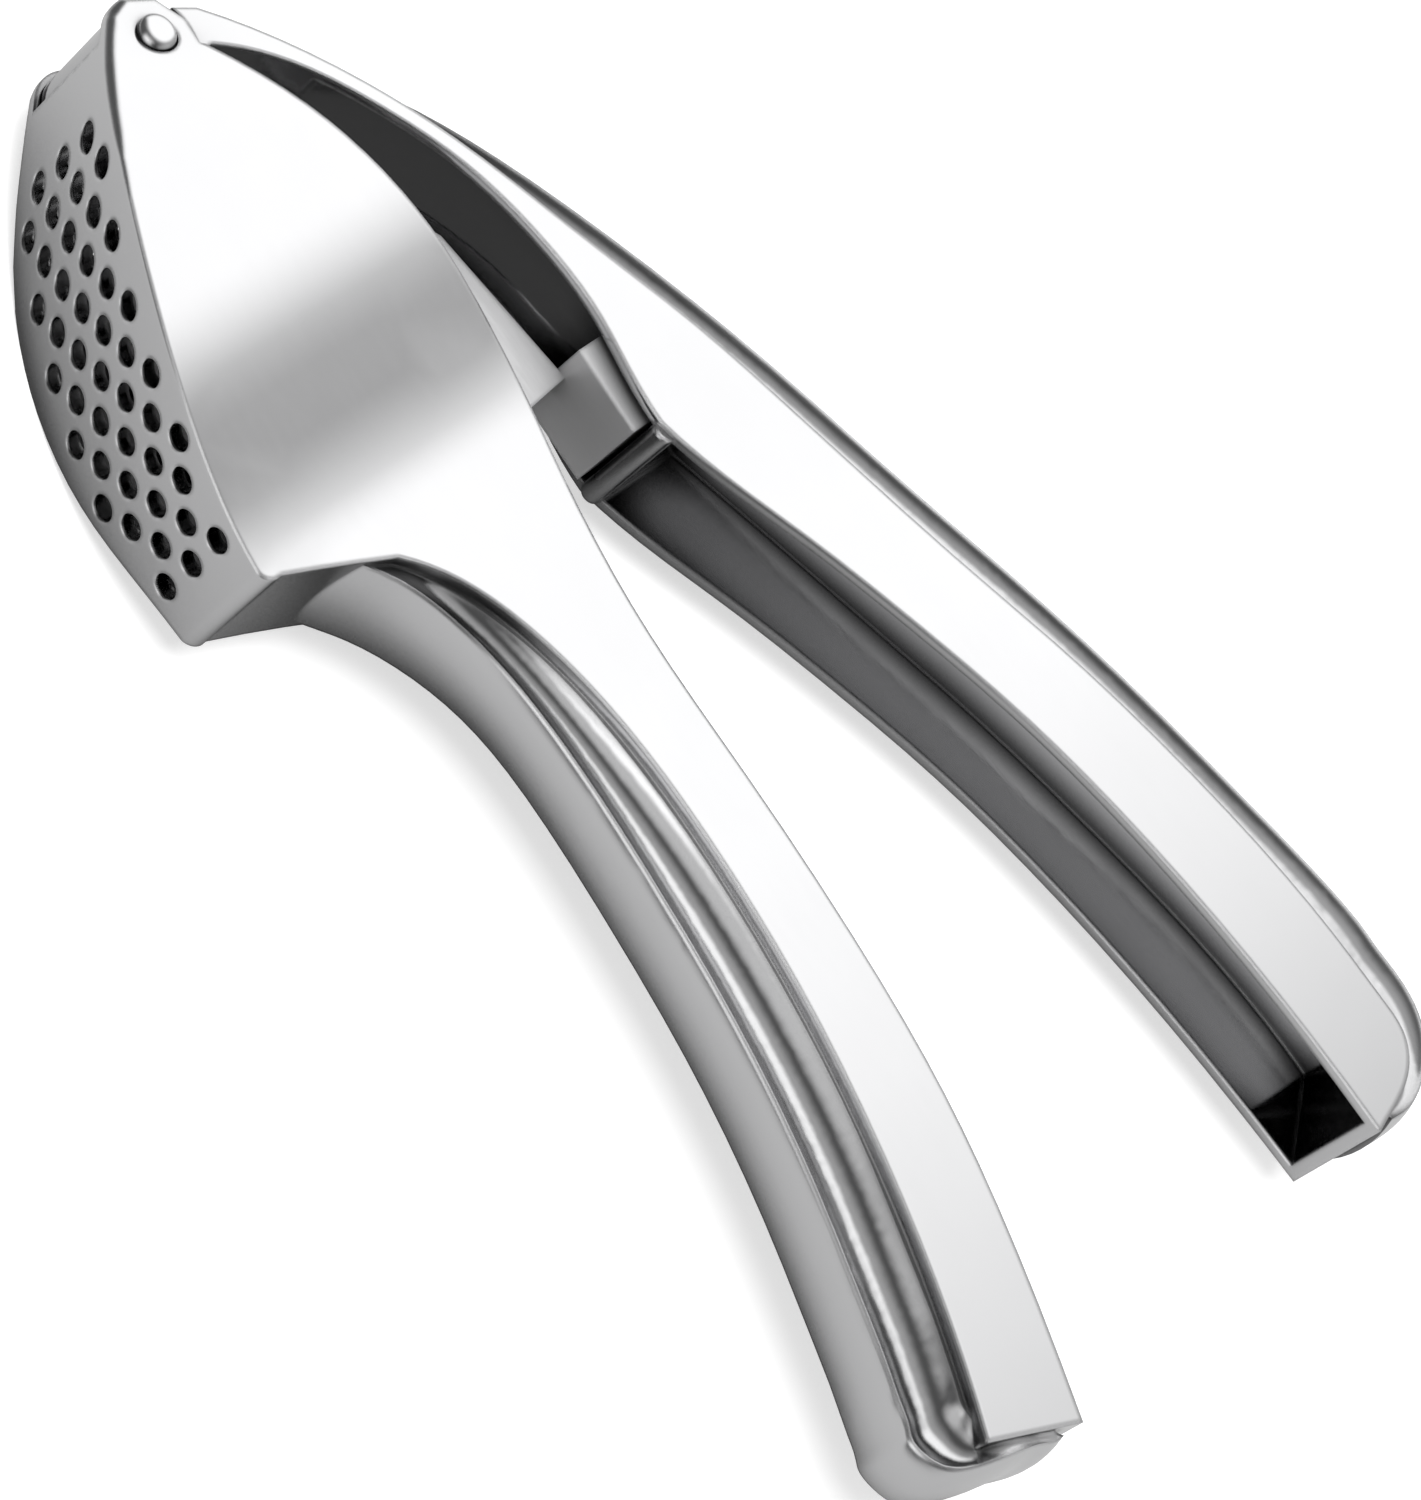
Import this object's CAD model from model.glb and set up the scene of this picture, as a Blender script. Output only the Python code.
"""Garlic press lying on its side on a pale table, in soft studio light. Metres."""

import math

import bmesh
import bpy
from mathutils import Matrix, Vector


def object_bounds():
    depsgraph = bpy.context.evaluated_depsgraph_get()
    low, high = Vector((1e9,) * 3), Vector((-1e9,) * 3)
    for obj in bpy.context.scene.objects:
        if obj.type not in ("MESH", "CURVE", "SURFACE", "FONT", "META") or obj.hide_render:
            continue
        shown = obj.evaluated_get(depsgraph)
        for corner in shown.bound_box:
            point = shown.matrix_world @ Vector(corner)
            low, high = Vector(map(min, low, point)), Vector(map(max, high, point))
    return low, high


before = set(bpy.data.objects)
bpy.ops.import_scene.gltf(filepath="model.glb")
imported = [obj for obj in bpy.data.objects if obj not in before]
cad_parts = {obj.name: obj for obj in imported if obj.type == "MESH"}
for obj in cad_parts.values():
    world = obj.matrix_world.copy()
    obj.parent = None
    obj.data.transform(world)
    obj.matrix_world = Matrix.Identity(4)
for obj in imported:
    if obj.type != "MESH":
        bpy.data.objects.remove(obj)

CAD_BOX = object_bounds()
MM = 0.001

# ---------------------------------------------------------------- camera
LENS, SENSOR = 144.0, 36.0
ELEVATION = math.radians(47.0)
ROLL = math.atan2(0.8, 0.6)
DISTANCE = 0.6494
AIM_OFFSET = Vector((10.17, -9.15, 0.0)) * MM


def add_camera():
    """Long lens, looking 47 degrees down along +Y, rolled so that the handles run down to the right."""
    low, high = (Vector(corner) for corner in CAD_BOX)
    view = Vector((0.0, math.cos(ELEVATION), -math.sin(ELEVATION)))
    level = Vector((1.0, 0.0, 0.0))
    up = Vector((0.0, math.sin(ELEVATION), math.cos(ELEVATION)))
    right = level * math.cos(ROLL) + up * math.sin(ROLL)
    top = up * math.cos(ROLL) - level * math.sin(ROLL)
    aim = (low + high) / 2 + AIM_OFFSET
    data = bpy.data.cameras.new("camera")
    data.lens = LENS
    data.sensor_width = SENSOR
    data.clip_start = 0.01
    camera = bpy.data.objects.new("camera", data)
    turn = Matrix((right, top, -view)).transposed().to_4x4()
    camera.matrix_world = Matrix.Translation(aim - view * DISTANCE) @ turn
    bpy.context.scene.collection.objects.link(camera)
    bpy.context.scene.camera = camera


add_camera()


# ---------------------------------------------------------------- materials
BLUE_TINT = 1.01                         # how much bluer than grey the metal is
CLOUDS = {"Scale": 38.0, "Detail": 4.0, "Roughness": 0.55}
HOLLOW_REACH = 0.007                     # hollows narrower than this go dark
HOLLOW_RANGE = (0.35, 0.95)              # openness at which a hollow is darkest, and at which it ends
SCRATCH_STRETCH = (1.0, 9.0, 9.0)        # scratches run along X
SCRATCHES = {"Detail": 6.0, "Roughness": 0.7}
SCRATCH_RANGE = (0.3, 0.7)
SCRATCH_DEPTH = 0.0002
EDGE_RADIUS = 0.0008


def new_material(name):
    """A node material with its nodes, its links and its Principled shader."""
    material = bpy.data.materials.new(name)
    material.use_nodes = True
    nodes = material.node_tree.nodes
    return material, nodes, material.node_tree.links, nodes["Principled BSDF"]


def add_node(nodes, kind, **inputs):
    """A node of a kind with some of its input sockets set."""
    node = nodes.new(kind)
    for key, value in inputs.items():
        node.inputs[key.replace("_", " ")].default_value = value
    return node


def link_range(nodes, links, value, low, high, out_low, out_high):
    """The value's stretch from low to high, turned smoothly into out_low to out_high."""
    node = nodes.new("ShaderNodeMapRange")
    node.interpolation_type = "SMOOTHSTEP"
    for socket, number in (("From Min", low), ("From Max", high), ("To Min", out_low), ("To Max", out_high)):
        node.inputs[socket].default_value = number
    links.new(value, node.inputs["Value"])
    return node.outputs["Result"]


def combine(nodes, links, operation, first, second):
    """Two values, each a socket or a number, joined by a Math operation."""
    node = nodes.new("ShaderNodeMath")
    node.operation = operation
    for socket, value in zip(node.inputs, (first, second)):
        if isinstance(value, (int, float)):
            socket.default_value = value
        else:
            links.new(value, socket)
    return node.outputs["Value"]


def metal(name, bright, dull, recess, rough, bump, grain, metallic=1.0):
    """Metal with a cloudy tone, dark hollows, uneven polish and fine scratches along X.

    bright and dull are the two tones, recess the share of them left in a hollow, rough the lowest and
    highest roughness, bump the strength of the scratches and grain their fineness.
    """
    material, nodes, links, shader = new_material(name)
    shader.inputs["Metallic"].default_value = metallic
    place = nodes.new("ShaderNodeTexCoord")
    cloud = add_node(nodes, "ShaderNodeTexNoise", **CLOUDS)
    links.new(place.outputs["Object"], cloud.inputs["Vector"])
    tone = nodes.new("ShaderNodeMix")
    tone.data_type = "RGBA"
    tone.inputs["A"].default_value = (dull, dull, dull * BLUE_TINT, 1.0)
    tone.inputs["B"].default_value = (bright, bright, bright * BLUE_TINT, 1.0)
    links.new(cloud.outputs["Fac"], tone.inputs["Factor"])
    hollow = add_node(nodes, "ShaderNodeAmbientOcclusion", Distance=HOLLOW_REACH)
    hollow.samples = 8
    depth = link_range(nodes, links, hollow.outputs["AO"], *HOLLOW_RANGE, recess, 1.0)
    shade = nodes.new("ShaderNodeVectorMath")
    shade.operation = "SCALE"
    links.new(tone.outputs["Result"], shade.inputs[0])
    links.new(depth, shade.inputs["Scale"])
    links.new(shade.outputs["Vector"], shader.inputs["Base Color"])
    stretch = nodes.new("ShaderNodeMapping")
    stretch.inputs["Scale"].default_value = SCRATCH_STRETCH
    links.new(place.outputs["Object"], stretch.inputs["Vector"])
    scratch = add_node(nodes, "ShaderNodeTexNoise", Scale=grain, **SCRATCHES)
    links.new(stretch.outputs["Vector"], scratch.inputs["Vector"])
    polish = link_range(nodes, links, scratch.outputs["Fac"], *SCRATCH_RANGE, *rough)
    links.new(polish, shader.inputs["Roughness"])
    relief = add_node(nodes, "ShaderNodeBump", Strength=bump, Distance=SCRATCH_DEPTH)
    links.new(scratch.outputs["Fac"], relief.inputs["Height"])
    edges = add_node(nodes, "ShaderNodeBevel", Radius=EDGE_RADIUS)
    edges.samples = 6
    links.new(edges.outputs["Normal"], relief.inputs["Normal"])
    links.new(relief.outputs["Normal"], shader.inputs["Normal"])
    return material


POLISHED = metal("polished_casting", 0.68, 0.63, 0.10, (0.05, 0.11), 0.02, 90.0)
SATIN = metal("satin_casting", 0.62, 0.54, 0.55, (0.36, 0.48), 0.12, 160.0, metallic=0.6)
PIN = metal("pin_steel", 0.70, 0.62, 0.20, (0.07, 0.14), 0.03, 120.0)
FINISHES = {
    "lower_arm": POLISHED,
    "upper_arm": POLISHED,
    "plunger": SATIN,
    "plunger_pin": PIN,
    "hinge_pin": PIN,
}


# ---------------------------------------------------------------- pieces
for node, finish in FINISHES.items():
    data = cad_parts[node].data
    data.materials.clear()
    data.materials.append(finish)
    for polygon in data.polygons:
        polygon.use_smooth = True


# ---------------------------------------------------------------- studio
WHITE = (1.0, 1.0, 1.0, 1.0)
FLOOR_SIZE = 3.0
FLOOR_COLOUR = (0.6, 0.6, 0.6, 1.0)
FLOOR_ROUGHNESS = 0.8
FLOOR_GLOW = 0.60
SHADOW_REACH = 0.06                      # how far from the press the reflected floor is shaded
SHADOW_RANGE = (0.30, 1.0, 0.05, 0.68)   # openness from and to, and the reflected brightness at each
FADE_RANGE = (0.13, 0.32, 1.0, 0.25)     # distance from the middle from and to, and the share left at each

# Windows of the room: brightness, then axis, where it is dark and where it is full along that axis
WINDOWS = [
    (0.98, [((1.0, 0.0, 0.0), 0.25, 0.00), ((0.0, 1.0, 0.0), 0.36, 0.58), ((0.0, 0.0, 1.0), 0.15, 0.40)]),
    (0.42, [((0.0, 0.80, 0.60), 0.45, 0.85)]),
    (1.20, [((0.0, -0.99, 0.12), 0.80, 0.97)]),
    (0.70, [((0.0, -0.70, 0.70), 0.80, 0.97)]),
    (0.50, [((0.96, 0.10, 0.25), 0.75, 0.97)]),
]
ROOM_LEVEL = 0.12

LAMP_PLACE = (0.0, -0.1, 0.9)
LAMP_SIZE, LAMP_POWER = 0.8, 11.0


def add_floor():
    """A large pale table top, bright to the eye and greyer in the metal's reflections."""
    mesh = bmesh.new()
    bmesh.ops.create_grid(mesh, x_segments=1, y_segments=1, size=FLOOR_SIZE)
    data = bpy.data.meshes.new("floor")
    mesh.to_mesh(data)
    mesh.free()
    floor = bpy.data.objects.new("floor", data)
    bpy.context.scene.collection.objects.link(floor)
    material, nodes, links, shader = new_material("table")
    shader.inputs["Base Color"].default_value = FLOOR_COLOUR
    shader.inputs["Roughness"].default_value = FLOOR_ROUGHNESS
    shader.inputs["Emission Color"].default_value = WHITE
    shader.inputs["Emission Strength"].default_value = FLOOR_GLOW
    reflected = nodes.new("ShaderNodeEmission")
    openness = add_node(nodes, "ShaderNodeAmbientOcclusion", Distance=SHADOW_REACH)
    openness.samples = 8
    level = link_range(nodes, links, openness.outputs["AO"], *SHADOW_RANGE)
    place = nodes.new("ShaderNodeTexCoord")
    away = nodes.new("ShaderNodeVectorMath")
    away.operation = "LENGTH"
    links.new(place.outputs["Object"], away.inputs[0])
    near = link_range(nodes, links, away.outputs["Value"], *FADE_RANGE)
    links.new(combine(nodes, links, "MULTIPLY", level, near), reflected.inputs["Strength"])
    ray = nodes.new("ShaderNodeLightPath")
    choose = nodes.new("ShaderNodeMixShader")
    links.new(ray.outputs["Is Glossy Ray"], choose.inputs["Fac"])
    links.new(shader.outputs["BSDF"], choose.inputs[1])
    links.new(reflected.outputs["Emission"], choose.inputs[2])
    links.new(choose.outputs["Shader"], nodes["Material Output"].inputs["Surface"])
    data.materials.append(material)


def add_lamp(name, place, size, power):
    """A soft square lamp aimed at the press, which lights the table without showing in the metal."""
    data = bpy.data.lights.new(name, "AREA")
    data.size = size
    data.energy = power
    lamp = bpy.data.objects.new(name, data)
    lamp.location = place
    lamp.rotation_euler = (-Vector(place)).to_track_quat("-Z", "Y").to_euler()
    lamp.visible_glossy = False
    bpy.context.scene.collection.objects.link(lamp)


def add_world():
    """A dim room with soft windows, each fading out between two limits along each of its axes."""
    world = bpy.data.worlds.new("studio")
    bpy.context.scene.world = world
    world.use_nodes = True
    nodes, links = world.node_tree.nodes, world.node_tree.links
    place = nodes.new("ShaderNodeTexCoord")
    total = None
    for brightness, fades in WINDOWS:
        window = None
        for axis, dark, bright in fades:
            facing = nodes.new("ShaderNodeVectorMath")
            facing.operation = "DOT_PRODUCT"
            facing.inputs[1].default_value = axis
            links.new(place.outputs["Generated"], facing.inputs[0])
            fade = link_range(nodes, links, facing.outputs["Value"], dark, bright, 0.0, 1.0)
            window = fade if window is None else combine(nodes, links, "MULTIPLY", window, fade)
        light = combine(nodes, links, "MULTIPLY", window, brightness)
        total = combine(nodes, links, "ADD", light, ROOM_LEVEL if total is None else total)
    links.new(total, nodes["Background"].inputs["Strength"])
    nodes["Background"].inputs["Color"].default_value = WHITE


add_floor()
add_world()
add_lamp("overhead", LAMP_PLACE, LAMP_SIZE, LAMP_POWER)
bpy.context.scene.view_settings.view_transform = "Standard"
